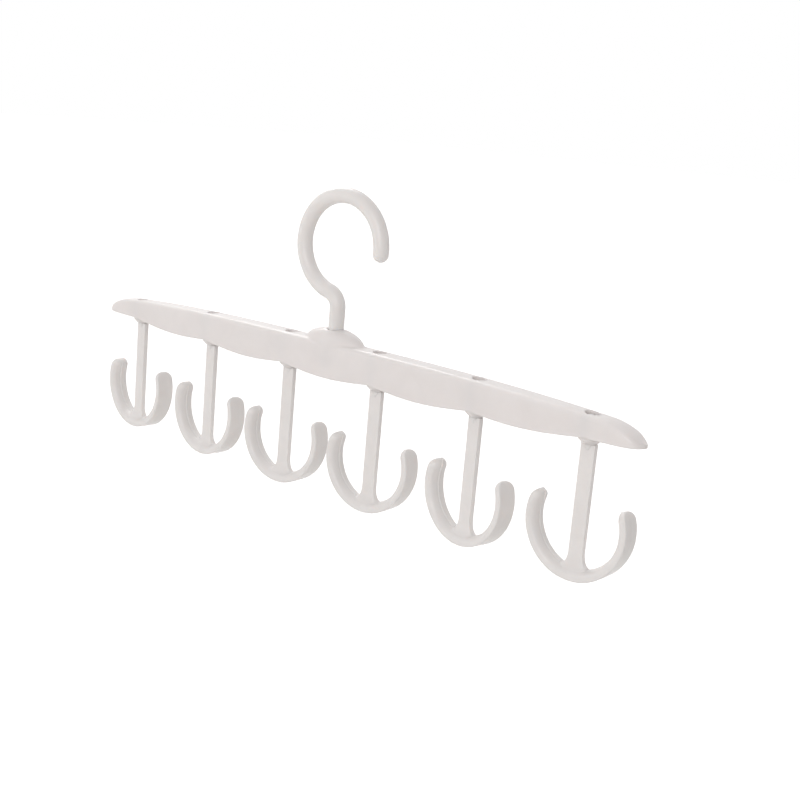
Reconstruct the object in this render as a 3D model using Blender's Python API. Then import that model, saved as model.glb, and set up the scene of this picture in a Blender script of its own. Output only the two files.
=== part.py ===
"""A multi-hook hanger: one moulded bar, a swivelling top hook and six anchor-shaped hooks.

Units are metres. +X runs along the bar, -Y is its front and +Z is up. The origin is where
the hanger hangs on its rail: the inner top of the top hook's ring.
"""
import math

import bmesh
import bpy
from mathutils import Vector

MM = 0.001

# The row of anchor hooks under the bar
HOOK_COUNT = 6
HOOK_PITCH = 56.0 * MM
TIP_REACH = 26.5 * MM
REST_TURNS_DEG = (-3.0, -2.0, 5.0, 5.0, -7.0, 3.0)
TOP_HOOK_TURN_DEG = 4.3

# The bar's outside, measured from its crest at mid length
CUSP_HEIGHT = 14.35 * MM
CREST_FALL = 3.4 * MM
CUSP_RISE = 2.15 * MM
SCALLOP_SAG = 2.2 * MM
SCALLOP_FADE_SHARE = 0.30
END_SAG = 0.6 * MM
MID_DEPTH = 12.7 * MM
END_DEPTH = 11.5 * MM
EDGE_RADIUS = 2.2 * MM
CROWN = 0.4 * MM
DRAFT = 0.2 * MM

# The pointed ends of the bar
NOSE_LENGTH = 18.5 * MM
NOSE_FALL = 4.6 * MM
NOSE_DEPTH = 1.6 * MM
NOSE_HEIGHT = 1.2 * MM
NOSE_POWER = 0.75

# The bar's inside, open below
WALL = 1.8 * MM
INNER_EDGE_SHARE = 0.3
CAVITY_REACH = 17.0 * MM

# The tubular bosses that the anchor hooks snap into
BOSS_DIAMETER = 9.8 * MM
BOSS_DROP = 2.8 * MM
BOSS_CHAMFER = 1.8 * MM
BOSS_RIM = 0.5 * MM
RIM_ROUNDING = 0.3 * MM
COUNTERBORE_DIAMETER = 7.5 * MM
LEDGE_HEIGHT = 7.6 * MM
MOUTH_CHAMFER = 0.4 * MM

# The hub that carries the top hook, and the oval dome over it
HUB_DIAMETER = 11.6 * MM
HUB_FLOOR = 4.0 * MM
HUB_FOOT_DEPTH = 11.0 * MM
DOME_LENGTH = 36.0 * MM
DOME_HEIGHT = 5.9 * MM
DOME_SIDE_GAP = 0.15 * MM
DOME_END_POWER = 2.2
DOME_SIDE_POWER = 3.5
DOME_CLOSE_DEG = 80.0
DOME_MOUTH_CHAMFER = 0.8 * MM

# One anchor hook
STEM_WIDTH = 6.5 * MM
STEM_THICKNESS = 2.5 * MM
STEM_EDGE = 0.5 * MM
HANG_LENGTH = 55.3 * MM
ARM_RADIUS = 22.7 * MM
ARM_THICKNESS = 4.3 * MM
ARM_DEPTH = 9.3 * MM
ARM_RIM = 1.0 * MM
ARM_EDGE = 0.6 * MM
ARM_OVERREACH_DEG = 28.0
ARM_TIP_LENGTH = 4.0 * MM
ARM_TIP_POWER = 0.6
CROWN_FILLET = 4.0 * MM
FILLET_BITE = 0.2 * MM

# The anchor hook's round neck and its split snap head
NECK_DIAMETER = 4.0 * MM
NECK_ROOT_LENGTH = 2.5 * MM
NECK_ROOT_SHARE = 0.6
HEAD_DIAMETER = 5.8 * MM
HEAD_HEIGHT = 3.2 * MM
HEAD_TIP_DIAMETER = 4.2 * MM
HEAD_LAND = 0.8 * MM
SPLIT_WIDTH = 1.1 * MM
SPLIT_DEPTH = 6.5 * MM

# The top hook: a round rod bent into a question mark, with a split snap end
ROD_DIAMETER = 7.2 * MM
RING_RADIUS = 22.1 * MM
LOWER_BEND_RADIUS = 7.2 * MM
RING_HEIGHT = 43.3 * MM
RING_END_DEG = -3.3
SHANK_NECK_DIAMETER = 5.2 * MM
SHANK_HEAD_DIAMETER = 7.2 * MM
SHANK_HEAD_HEIGHT = 3.4 * MM
SHANK_HEAD_TIP_DIAMETER = 4.8 * MM
SHANK_HEAD_LAND = 0.9 * MM
SHANK_SPLIT_WIDTH = 1.3 * MM
SHANK_SPLIT_DEPTH = 7.5 * MM

# Clearances
TURNING_CLEARANCE = 0.3 * MM
SEAT_GAP = 0.3 * MM
STEM_GAP = 0.4 * MM
OVERRUN = 2.0 * MM

# How finely the round shapes are divided
STEPS_PER_BAY = 6
NOSE_STEPS = 8
EDGE_STEPS = 3
BOSS_SIDES = 24
DOME_SIDES = 28
DOME_RINGS = 7
ARM_STEPS = 24
TIP_STEPS = 4
TIP_ROUND_DEG = 80.0
CORNER_STEPS = 2
DOMED_STEPS = 4
FILLET_STEPS = 6
NECK_SIDES = 16
ROD_SIDES = 16
RING_STEPS = 32
BEND_STEPS = 8

OUTER_STEM_X = HOOK_PITCH * (HOOK_COUNT - 1) / 2
TIP_X = OUTER_STEM_X + TIP_REACH
NOSE_START_X = TIP_X - NOSE_LENGTH
RING_CENTRE_Z = -(RING_RADIUS - ROD_DIAMETER / 2)
CREST_Z = RING_CENTRE_Z - RING_HEIGHT
OFF_WHITE = (0.80, 0.76, 0.74, 1.0)


def clear_scene():
    """Remove every object of the open scene."""
    for item in list(bpy.data.objects):
        bpy.data.objects.remove(item, do_unlink=True)


def moulded_plastic(name, roughness):
    """Off-white polypropylene with a satin skin."""
    material = bpy.data.materials.new(name)
    material.use_nodes = True
    shader = material.node_tree.nodes["Principled BSDF"]
    shader.inputs["Base Color"].default_value = OFF_WHITE
    shader.inputs["Roughness"].default_value = roughness
    shader.inputs["Metallic"].default_value = 0.0
    material.diffuse_color = OFF_WHITE
    return material


def object_from(mesh, name):
    """Turn a bmesh into an object with its faces outward and its round sides smooth."""
    bmesh.ops.recalc_face_normals(mesh, faces=mesh.faces)
    data = bpy.data.meshes.new(name)
    mesh.to_mesh(data)
    mesh.free()
    data.polygons.foreach_set("use_smooth", [True] * len(data.polygons))
    data.set_sharp_from_angle(angle=math.radians(35.0))
    made = bpy.data.objects.new(name, data)
    bpy.context.scene.collection.objects.link(made)
    return made


def loft(mesh, rings):
    """Join closed rings of points one after another and cap both ends."""
    loops = [[mesh.verts.new(point) for point in ring] for ring in rings]
    for near, far in zip(loops, loops[1:]):
        for index in range(len(near)):
            after = (index + 1) % len(near)
            mesh.faces.new((near[index], near[after], far[after], far[index]))
    mesh.faces.new(loops[0])
    mesh.faces.new(loops[-1])


def turned(mesh, profile, sides, centre=(0.0, 0.0)):
    """Turn a profile of (radius, height) points, bottom to top, about an upright axis."""
    rings = []
    for radius, height in profile:
        ring = []
        for side in range(sides):
            angle = math.tau * side / sides
            x = centre[0] + radius * math.cos(angle)
            y = centre[1] + radius * math.sin(angle)
            ring.append((x, y, height))
        rings.append(ring)
    loft(mesh, rings)


def add_boolean(target, tool, operation):
    """Combine a helper solid with the target and hide the helper."""
    tool.parent = target
    tool.hide_render = True
    tool.display_type = 'WIRE'
    modifier = target.modifiers.new(tool.name, 'BOOLEAN')
    modifier.operation = operation
    modifier.object = tool
    modifier.solver = 'EXACT'


def stem_places():
    """The X of each anchor hook's axis, left to right."""
    return [HOOK_PITCH * index - OUTER_STEM_X for index in range(HOOK_COUNT)]


def nose_fade(x):
    """One along the bar and falling to zero at the tip of its nose."""
    into_nose = max(0.0, (abs(x) - NOSE_START_X) / NOSE_LENGTH)
    return max(0.0, 1.0 - into_nose ** 2) ** NOSE_POWER


def half_depth(x):
    """Half the bar's front-to-back size."""
    fall = (MID_DEPTH - END_DEPTH) * min(1.0, abs(x) / OUTER_STEM_X) ** 2
    return (NOSE_DEPTH + (MID_DEPTH - fall - NOSE_DEPTH) * nose_fade(x)) / 2


def crest_line(x):
    """Height of the bar's top along its middle."""
    fall = CREST_FALL * (abs(x) / NOSE_START_X) ** 3
    return -fall - NOSE_FALL * (1.0 - nose_fade(x))


def cusp_line(x):
    """Height of the skirt's edge where the bays meet at a stem."""
    share = min(1.0, abs(x) / OUTER_STEM_X)
    return -CUSP_HEIGHT + CUSP_RISE * share ** 3


def skirt_line(x):
    """Height of the skirt's scalloped lower edge."""
    beyond = (abs(x) - OUTER_STEM_X) / TIP_REACH
    if beyond <= 0.0:
        bay = (x + OUTER_STEM_X) / HOOK_PITCH
        fade = 1.0 - SCALLOP_FADE_SHARE * (x / OUTER_STEM_X) ** 2
        return cusp_line(x) - SCALLOP_SAG * fade * abs(math.sin(math.pi * bay))
    nose_rise = crest_line(TIP_X) - NOSE_HEIGHT - cusp_line(OUTER_STEM_X)
    return cusp_line(x) + nose_rise * beyond ** 3 - END_SAG * math.sin(math.pi * beyond)


def boss_foot(x):
    """Height of a boss's lower end."""
    return cusp_line(x) - BOSS_DROP


def bar_stations(reach):
    """X of the bar's cross-sections, close together near the tips."""
    steps = STEPS_PER_BAY * (HOOK_COUNT - 1)
    middle = [HOOK_PITCH * step / STEPS_PER_BAY - OUTER_STEM_X for step in range(steps + 1)]
    outer = []
    for step in range(1, NOSE_STEPS + 1):
        outer.append(OUTER_STEM_X + reach * math.sin(math.pi / 2 * step / NOSE_STEPS))
    return [-x for x in reversed(outer)] + middle + outer


def bar_section(x, wall, foot):
    """The bar's closed outline at one station, drawn in by a wall."""
    half = half_depth(x) - wall
    top = crest_line(x) - wall
    radius = min(EDGE_RADIUS, half)
    radius = max(radius - wall, radius * INNER_EDGE_SHARE)
    shoulder = half - DRAFT * min(1.0, half / EDGE_RADIUS) - radius
    crown = CROWN * min(1.0, half / EDGE_RADIUS)
    front = [(-half, foot)]
    for step in range(EDGE_STEPS + 1):
        angle = math.pi / 2 * step / EDGE_STEPS
        y = -shoulder - radius * math.cos(angle)
        front.append((y, top - crown - radius * (1.0 - math.sin(angle))))
    front.append((-shoulder / 2, top - crown / 4))
    outline = front + [(0.0, top)] + [(-y, z) for y, z in reversed(front)]
    return [(x, y, z) for y, z in outline]


def bar_outside():
    """The bar's solid outside from nose to nose."""
    mesh = bmesh.new()
    loft(mesh, [bar_section(x, 0.0, skirt_line(x)) for x in bar_stations(TIP_REACH)])
    return object_from(mesh, "bar_body")


def bar_cavity():
    """The channel under the bar, open below."""
    mesh = bmesh.new()
    below = boss_foot(0.0) - OVERRUN
    loft(mesh, [bar_section(x, WALL, below) for x in bar_stations(CAVITY_REACH)])
    return object_from(mesh, "channel_cutter")


def boss_profile(x):
    """Outside of one boss: a chamfered foot and a low rounded rim over the crest."""
    radius = BOSS_DIAMETER / 2
    foot = boss_foot(x)
    rim = crest_line(x) + BOSS_RIM
    profile = [(radius - BOSS_CHAMFER, foot), (radius, foot + BOSS_CHAMFER)]
    profile += [(radius, rim - RIM_ROUNDING), (radius - RIM_ROUNDING, rim)]
    return profile


def bar_bosses():
    """Six tubular bosses, still solid."""
    mesh = bmesh.new()
    for x in stem_places():
        turned(mesh, boss_profile(x), BOSS_SIDES, (x, 0.0))
    return object_from(mesh, "boss_cores")


def bar_hub():
    """The thick post under the dome that the top hook turns in."""
    mesh = bmesh.new()
    profile = [(HUB_DIAMETER / 2, -HUB_FOOT_DEPTH), (HUB_DIAMETER / 2, -WALL / 2)]
    turned(mesh, profile, BOSS_SIDES)
    return object_from(mesh, "hub_post")


def dome_outline(half_length, half_width, height):
    """One oval of the dome at a height."""
    turns = [math.tau * side / DOME_SIDES for side in range(DOME_SIDES)]
    return [(half_length * math.cos(turn), half_width * math.sin(turn), height) for turn in turns]


def bar_dome():
    """The oval dome that rises out of the bar's top, flush with its front and back."""
    base = -EDGE_RADIUS
    half_width = half_depth(0.0) - DOME_SIDE_GAP
    rings = [dome_outline(DOME_LENGTH / 2, half_width, base - WALL)]
    for step in range(DOME_RINGS + 1):
        share = math.sin(math.radians(DOME_CLOSE_DEG) * step / DOME_RINGS)
        length = DOME_LENGTH / 2 * (1.0 - share ** DOME_END_POWER) ** (1.0 / DOME_END_POWER)
        width = half_width * (1.0 - share ** DOME_SIDE_POWER) ** (1.0 / DOME_SIDE_POWER)
        rings.append(dome_outline(length, width, base + (DOME_HEIGHT - base) * share))
    mesh = bmesh.new()
    loft(mesh, rings)
    return object_from(mesh, "hub_dome")


def bar_bores():
    """Every bore of the bar: six stepped ones and the hub's."""
    mesh = bmesh.new()
    neck = NECK_DIAMETER / 2 + TURNING_CLEARANCE
    wide = COUNTERBORE_DIAMETER / 2
    for x in stem_places():
        ledge = boss_foot(x) + LEDGE_HEIGHT
        rim = crest_line(x) + BOSS_RIM
        profile = [(neck, boss_foot(x) - OVERRUN), (neck, ledge), (wide, ledge)]
        profile += [(wide, rim - MOUTH_CHAMFER), (wide + MOUTH_CHAMFER, rim)]
        profile += [(wide + MOUTH_CHAMFER, rim + OVERRUN)]
        turned(mesh, profile, BOSS_SIDES, (x, 0.0))
    floor_top = HUB_FLOOR - HUB_FOOT_DEPTH
    neck = SHANK_NECK_DIAMETER / 2 + TURNING_CLEARANCE
    wide = ROD_DIAMETER / 2 + TURNING_CLEARANCE
    profile = [(neck, -HUB_FOOT_DEPTH - OVERRUN), (neck, floor_top), (wide, floor_top)]
    profile += [(wide, DOME_HEIGHT - DOME_MOUTH_CHAMFER)]
    profile += [(wide + DOME_MOUTH_CHAMFER, DOME_HEIGHT), (wide + DOME_MOUTH_CHAMFER, DOME_HEIGHT + OVERRUN)]
    turned(mesh, profile, BOSS_SIDES)
    return object_from(mesh, "bore_cutters")


def build_bar():
    """The one-piece bar: a channel with bosses, a hub and its dome."""
    bar = bar_outside()
    add_boolean(bar, bar_cavity(), 'DIFFERENCE')
    add_boolean(bar, bar_bosses(), 'UNION')
    add_boolean(bar, bar_dome(), 'UNION')
    add_boolean(bar, bar_hub(), 'UNION')
    add_boolean(bar, bar_bores(), 'DIFFERENCE')
    bar.data.materials.append(moulded_plastic("bar_plastic", 0.38))
    bar.location = (0.0, 0.0, CREST_Z)
    return bar


def arm_section(thickness, depth):
    """Half-round section of an arm: flat outside with soft edges, domed where the laundry rests."""
    slim = thickness / ARM_THICKNESS
    rim = ARM_RIM * slim
    edge = ARM_EDGE * slim
    front = []
    for step in range(CORNER_STEPS + 1):
        angle = math.pi / 2 * step / CORNER_STEPS
        front.append((-edge * (1.0 - math.cos(angle)), -depth / 2 + edge * (1.0 - math.sin(angle))))
    for step in range(DOMED_STEPS):
        angle = math.pi / 2 * step / DOMED_STEPS
        front.append((-rim - (thickness - rim) * math.sin(angle), -depth / 2 * math.cos(angle)))
    return front + [(-thickness, 0.0)] + [(across, -along) for across, along in reversed(front)]


def arm_ring(angle, thickness, depth):
    """One cross-section of the curved arms at an angle from the bottom of the arc."""
    outward = Vector((math.sin(angle), 0.0, -math.cos(angle)))
    centre = Vector((0.0, 0.0, ARM_RADIUS - HANG_LENGTH))
    middle = ARM_RADIUS - (ARM_THICKNESS - thickness) / 2
    ring = []
    for across, along in arm_section(thickness, depth):
        ring.append(centre + outward * (middle + across) + Vector((0.0, along, 0.0)))
    return ring


def tip_turns():
    """The turns at which a rounded tip has its cross-sections."""
    return [math.radians(TIP_ROUND_DEG) * step / TIP_STEPS for step in range(1, TIP_STEPS + 1)]


def anchor_arms():
    """Both arms as one band along an arc, with rounded tips."""
    tip_angle = ARM_TIP_LENGTH / (ARM_RADIUS - ARM_THICKNESS / 2)
    end = math.radians(90.0 + ARM_OVERREACH_DEG) - tip_angle
    places = [(end * (2.0 * step / ARM_STEPS - 1.0), 1.0) for step in range(ARM_STEPS + 1)]
    tip = [(end + tip_angle * math.sin(turn), math.cos(turn)) for turn in tip_turns()]
    places = [(-angle, share) for angle, share in reversed(tip)] + places + tip
    rings = []
    for angle, share in places:
        rings.append(arm_ring(angle, ARM_THICKNESS * share ** ARM_TIP_POWER, ARM_DEPTH * share))
    mesh = bmesh.new()
    loft(mesh, rings)
    return object_from(mesh, "arms_band")


def stem_outline():
    """Right half of the stem's front outline: its side and the fillet into the arms."""
    centre_z = ARM_RADIUS - HANG_LENGTH
    reach = ARM_RADIUS - ARM_THICKNESS + FILLET_BITE - CROWN_FILLET
    fillet_x = STEM_WIDTH / 2 + CROWN_FILLET
    fillet_z = centre_z - math.sqrt(reach ** 2 - fillet_x ** 2)
    last = math.atan2(fillet_z - centre_z, fillet_x) + math.tau
    points = [(STEM_WIDTH / 2, -STEM_GAP)]
    for step in range(FILLET_STEPS + 1):
        angle = math.pi + (last - math.pi) * step / FILLET_STEPS
        x = fillet_x + CROWN_FILLET * math.cos(angle)
        points.append((x, fillet_z + CROWN_FILLET * math.sin(angle)))
    deep = ARM_RADIUS - ARM_THICKNESS / 2
    points.append((deep * math.cos(last), centre_z + deep * math.sin(last)))
    return points + [(0.0, centre_z - deep)]


def anchor_stem(name):
    """The flat stem with its crown fillets and softened edges."""
    right = stem_outline()
    outline = right + [(-x, z) for x, z in reversed(right[:-1])]
    mesh = bmesh.new()
    half = STEM_THICKNESS / 2
    loft(mesh, [[(x, y, z) for x, z in outline] for y in (-half, half)])
    stem = object_from(mesh, name)
    bevel = stem.modifiers.new("soft_edges", 'BEVEL')
    bevel.width = STEM_EDGE
    bevel.segments = 2
    bevel.limit_method = 'ANGLE'
    bevel.angle_limit = math.radians(60.0)
    return stem


def anchor_neck():
    """The round neck with its barbed snap head, before it is split."""
    neck = NECK_DIAMETER / 2
    head = HEAD_DIAMETER / 2
    seat = LEDGE_HEIGHT + SEAT_GAP
    profile = [(neck * NECK_ROOT_SHARE, -STEM_GAP - NECK_ROOT_LENGTH), (neck, -STEM_GAP + SEAT_GAP)]
    profile += [(neck, seat), (head, seat), (head, seat + HEAD_LAND)]
    profile += [(HEAD_TIP_DIAMETER / 2, seat + HEAD_HEIGHT)]
    mesh = bmesh.new()
    turned(mesh, profile, NECK_SIDES)
    return object_from(mesh, "neck_and_head")


def split_cutter(width, head_diameter, low, high):
    """A thin upright slab between two heights that splits a snap head."""
    half_x = width / 2
    half_y = head_diameter / 2 + OVERRUN
    rings = []
    for height in (low, high):
        ring = [(-half_x, -half_y, height), (half_x, -half_y, height)]
        ring += [(half_x, half_y, height), (-half_x, half_y, height)]
        rings.append(ring)
    mesh = bmesh.new()
    loft(mesh, rings)
    return object_from(mesh, "split_cutter")


def build_anchor(number, x, turn_deg, material, bar):
    """One anchor hook hanging in its boss, its origin on its own axis."""
    hook = anchor_stem("anchor_hook_%d" % number)
    add_boolean(hook, anchor_arms(), 'UNION')
    add_boolean(hook, anchor_neck(), 'UNION')
    top = LEDGE_HEIGHT + SEAT_GAP + HEAD_HEIGHT
    split = split_cutter(SPLIT_WIDTH, HEAD_DIAMETER, top - SPLIT_DEPTH, top + OVERRUN)
    add_boolean(hook, split, 'DIFFERENCE')
    hook.data.materials.append(material)
    hook.parent = bar
    hook.location = (x, 0.0, boss_foot(x))
    hook.rotation_euler = (0.0, 0.0, math.radians(turn_deg))
    return hook


def rod_ring(centre, forward, radius):
    """One round cross-section of the rod, square to its run in the XZ plane."""
    side = Vector((forward.z, 0.0, -forward.x))
    ring = []
    for step in range(ROD_SIDES):
        angle = math.tau * step / ROD_SIDES
        offset = side * math.cos(angle) + Vector((0.0, math.sin(angle), 0.0))
        ring.append(centre + offset * radius)
    return ring


def shank_rings():
    """The straight lower end: snap head, neck and the shank in the hub."""
    floor_top = CREST_Z + HUB_FLOOR - HUB_FOOT_DEPTH
    seat = CREST_Z - HUB_FOOT_DEPTH - SEAT_GAP
    head = SHANK_HEAD_DIAMETER / 2
    steps = [(SHANK_HEAD_TIP_DIAMETER / 2, seat - SHANK_HEAD_HEIGHT), (head, seat - SHANK_HEAD_LAND)]
    steps += [(head, seat), (SHANK_NECK_DIAMETER / 2, seat)]
    steps += [(SHANK_NECK_DIAMETER / 2, floor_top + SEAT_GAP), (ROD_DIAMETER / 2, floor_top + SEAT_GAP)]
    upward = Vector((0.0, 0.0, 1.0))
    return [rod_ring(Vector((0.0, 0.0, z)), upward, radius) for radius, z in steps]


def bend_rings():
    """The lower bend and the ring, as two arcs that meet smoothly."""
    radius = ROD_DIAMETER / 2
    drop = math.sqrt(RING_RADIUS ** 2 + 2 * RING_RADIUS * LOWER_BEND_RADIUS)
    bend_z = RING_CENTRE_Z - drop
    meet = math.atan2(drop, LOWER_BEND_RADIUS)
    rings = []
    for step in range(BEND_STEPS + 1):
        angle = meet * step / BEND_STEPS
        x = LOWER_BEND_RADIUS * (math.cos(angle) - 1.0)
        centre = Vector((x, 0.0, bend_z + LOWER_BEND_RADIUS * math.sin(angle)))
        rings.append(rod_ring(centre, Vector((-math.sin(angle), 0.0, math.cos(angle))), radius))
    first = meet + math.pi
    last = math.radians(RING_END_DEG)
    for step in range(1, RING_STEPS + 1):
        angle = first + (last - first) * step / RING_STEPS
        centre = Vector((RING_RADIUS * math.cos(angle), 0.0, RING_CENTRE_Z + RING_RADIUS * math.sin(angle)))
        rings.append(rod_ring(centre, Vector((math.sin(angle), 0.0, -math.cos(angle))), radius))
    end = centre
    forward = Vector((math.sin(last), 0.0, -math.cos(last)))
    for turn in tip_turns():
        rings.append(rod_ring(end + forward * (radius * math.sin(turn)), forward, radius * math.cos(turn)))
    return rings


def build_top_hook():
    """The question-mark hook, its origin on the swivel's axis."""
    mesh = bmesh.new()
    loft(mesh, shank_rings() + bend_rings())
    hook = object_from(mesh, "swivel_hook")
    low = CREST_Z - HUB_FOOT_DEPTH - SEAT_GAP - SHANK_HEAD_HEIGHT
    split = split_cutter(SHANK_SPLIT_WIDTH, SHANK_HEAD_DIAMETER, low - OVERRUN, low + SHANK_SPLIT_DEPTH)
    add_boolean(hook, split, 'DIFFERENCE')
    hook.data.materials.append(moulded_plastic("top_hook_plastic", 0.34))
    hook.rotation_euler = (0.0, 0.0, math.radians(TOP_HOOK_TURN_DEG))
    return hook


def build_hanger():
    """Every piece in its place."""
    clear_scene()
    build_top_hook()
    bar = build_bar()
    anchor_plastic = moulded_plastic("anchor_plastic", 0.36)
    for number, x in enumerate(stem_places(), start=1):
        turn = REST_TURNS_DEG[(number - 1) % len(REST_TURNS_DEG)]
        build_anchor(number, x, turn, anchor_plastic, bar)
    bpy.context.view_layer.update()


build_hanger()
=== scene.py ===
"""Multi-hook hanger: a slim moulded bar, a swivelling top hook and six anchor-shaped hooks."""
import bpy
import bmesh
import math
import numpy as np
from mathutils import Matrix


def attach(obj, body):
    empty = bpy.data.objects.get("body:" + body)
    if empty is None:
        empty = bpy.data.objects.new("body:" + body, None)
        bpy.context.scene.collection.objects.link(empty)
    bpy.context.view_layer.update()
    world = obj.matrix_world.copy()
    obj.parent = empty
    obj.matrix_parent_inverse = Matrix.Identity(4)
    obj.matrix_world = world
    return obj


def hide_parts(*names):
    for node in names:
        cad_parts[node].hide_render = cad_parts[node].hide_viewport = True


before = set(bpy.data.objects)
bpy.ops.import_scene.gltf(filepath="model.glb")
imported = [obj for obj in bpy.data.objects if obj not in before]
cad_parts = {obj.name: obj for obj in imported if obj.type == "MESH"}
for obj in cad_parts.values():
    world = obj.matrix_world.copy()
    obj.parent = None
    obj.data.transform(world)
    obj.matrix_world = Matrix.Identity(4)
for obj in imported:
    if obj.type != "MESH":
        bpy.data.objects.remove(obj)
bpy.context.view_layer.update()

# The view: a 58.5 mm lens to the right of the hanger and a little above it.
# The frame leans five degrees, so the hanger seems to lean to the right.
LENS_MM = 58.5
SENSOR_MM = 36.0
CAMERA_PLACE = (0.40319, -0.41655, 0.03948)
CAMERA_YAW_DEG = 40.949
CAMERA_DOWN_DEG = 12.263
CAMERA_ROLL_DEG = 4.994


def camera_matrix():
    """Turn the upright camera about its own line of sight, tilt it down, then turn it sideways."""
    roll = Matrix.Rotation(math.radians(CAMERA_ROLL_DEG), 4, 'Z')
    tilt = Matrix.Rotation(math.radians(90.0 - CAMERA_DOWN_DEG), 4, 'X')
    yaw = Matrix.Rotation(math.radians(CAMERA_YAW_DEG), 4, 'Z')
    return Matrix.Translation(CAMERA_PLACE) @ yaw @ tilt @ roll


lens = bpy.data.cameras.new("camera")
lens.lens = LENS_MM
lens.sensor_width = SENSOR_MM
lens.clip_start = 0.01
lens.clip_end = 60.0
camera = bpy.data.objects.new("camera", lens)
camera.matrix_world = camera_matrix()
bpy.context.scene.collection.objects.link(camera)
bpy.context.scene.camera = camera
bpy.context.scene.view_settings.view_transform = 'Standard'

# The surroundings: a white room that shines most from behind the hanger, a pale floor well below
# it, and three soft lamps: one high up beyond its left end, one in front to the right, and a
# weaker one in front to the left.
FLOOR_DROP = 0.50
FLOOR_REACH = 20.0
FLOOR_GLOW = 0.80
ROOM_FRONT = 0.46
ROOM_BACK = 1.0
BACKDROP_WAY = (-0.656, 0.755, 0.0)
BACKDROP_START = -0.3
BACKDROP_FULL = 0.8


def linear(code):
    """An sRGB hex colour as linear red, green, blue and full alpha."""
    shares = [int(code[at:at + 2], 16) / 255.0 for at in (1, 3, 5)]
    curve = [share / 12.92 if share <= 0.04045 else ((share + 0.055) / 1.055) ** 2.4 for share in shares]
    return (*curve, 1.0)


def add_node(tree, kind, links=None, **settings):
    """Add a node; settings name its attributes or sockets, links name sockets and what feeds them."""
    node = tree.nodes.new(kind)
    for name, value in settings.items():
        if hasattr(node, name):
            setattr(node, name, value)
        else:
            node.inputs[name.replace("_", " ")].default_value = value
    for name, source in (links or {}).items():
        tree.links.new(source, node.inputs[name])
    return node


def larger(tree, one, other):
    """The larger of what two sockets give, as a socket."""
    return add_node(tree, "ShaderNodeMath", {0: one, 1: other}, operation='MAXIMUM').outputs[0]


room = bpy.data.worlds.new("white_room")
room.use_nodes = True
room.node_tree.nodes.clear()
tree = room.node_tree
path = add_node(tree, "ShaderNodeLightPath")
seen = larger(tree, path.outputs["Is Camera Ray"], path.outputs["Is Glossy Ray"])
seen = larger(tree, seen, path.outputs["Is Transmission Ray"])
way = add_node(tree, "ShaderNodeTexCoord")
away = add_node(tree, "ShaderNodeVectorMath", {0: way.outputs["Generated"]}, operation='DOT_PRODUCT')
away.inputs[1].default_value = BACKDROP_WAY
dim = add_node(tree, "ShaderNodeMapRange", {"Value": away.outputs["Value"]},
               From_Min=BACKDROP_START, From_Max=BACKDROP_FULL, To_Min=ROOM_FRONT, To_Max=ROOM_BACK)
tone = add_node(tree, "ShaderNodeMix", {0: seen, 2: dim.outputs[0]})
tone.inputs[3].default_value = 1.0
glow = add_node(tree, "ShaderNodeBackground", {"Strength": tone.outputs[0]}, Color=(1.0, 1.0, 1.0, 1.0))
add_node(tree, "ShaderNodeOutputWorld", {"Surface": glow.outputs[0]})
bpy.context.scene.world = room


def lamp(name, place, target, size, power):
    """A square soft lamp at a place, facing a target."""
    light = bpy.data.lights.new(name, 'AREA')
    light.size = size
    light.energy = power
    made = bpy.data.objects.new(name, light)
    aim = np.array(target) - np.array(place)
    spin = math.atan2(aim[1], aim[0]) - math.pi / 2
    tilt = math.pi / 2 + math.atan2(aim[2], math.hypot(aim[0], aim[1]))
    made.matrix_world = (Matrix.Translation(place) @ Matrix.Rotation(spin, 4, 'Z')
                         @ Matrix.Rotation(tilt, 4, 'X'))
    bpy.context.scene.collection.objects.link(made)


lamp("overhead_lamp", place=(-0.45, 0.20, 0.42), target=(-0.05, 0.0, -0.07), size=0.35, power=1.5)
lamp("front_lamp", place=(0.36, -0.80, 0.25), target=(0.0, 0.0, -0.07), size=0.45, power=2.85)
lamp("left_lamp", place=(-0.50, -0.50, 0.05), target=(-0.10, 0.0, -0.10), size=0.5, power=0.63)

pale = bpy.data.materials.new("pale_floor")
pale.use_nodes = True
pale.node_tree.nodes.clear()
tree = pale.node_tree
path = add_node(tree, "ShaderNodeLightPath")
seen = larger(tree, path.outputs["Is Camera Ray"], path.outputs["Is Glossy Ray"])
share = add_node(tree, "ShaderNodeMath", {0: seen}, operation='MULTIPLY')
share.inputs[1].default_value = FLOOR_GLOW
matt = add_node(tree, "ShaderNodeBsdfDiffuse", Color=linear("#E2E0DE"))
white = add_node(tree, "ShaderNodeEmission", {"Strength": share.outputs[0]})
both = add_node(tree, "ShaderNodeAddShader", {0: matt.outputs[0], 1: white.outputs[0]})
add_node(tree, "ShaderNodeOutputMaterial", {"Surface": both.outputs[0]})

floor_mesh = bpy.data.meshes.new("floor")
corners = [(x * FLOOR_REACH, y * FLOOR_REACH, -FLOOR_DROP) for x, y in ((-1, -1), (1, -1), (1, 1), (-1, 1))]
floor_mesh.from_pydata(corners, [], [(0, 1, 2, 3)])
floor_mesh.materials.append(pale)
floor = bpy.data.objects.new("floor", floor_mesh)
bpy.context.scene.collection.objects.link(floor)

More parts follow.
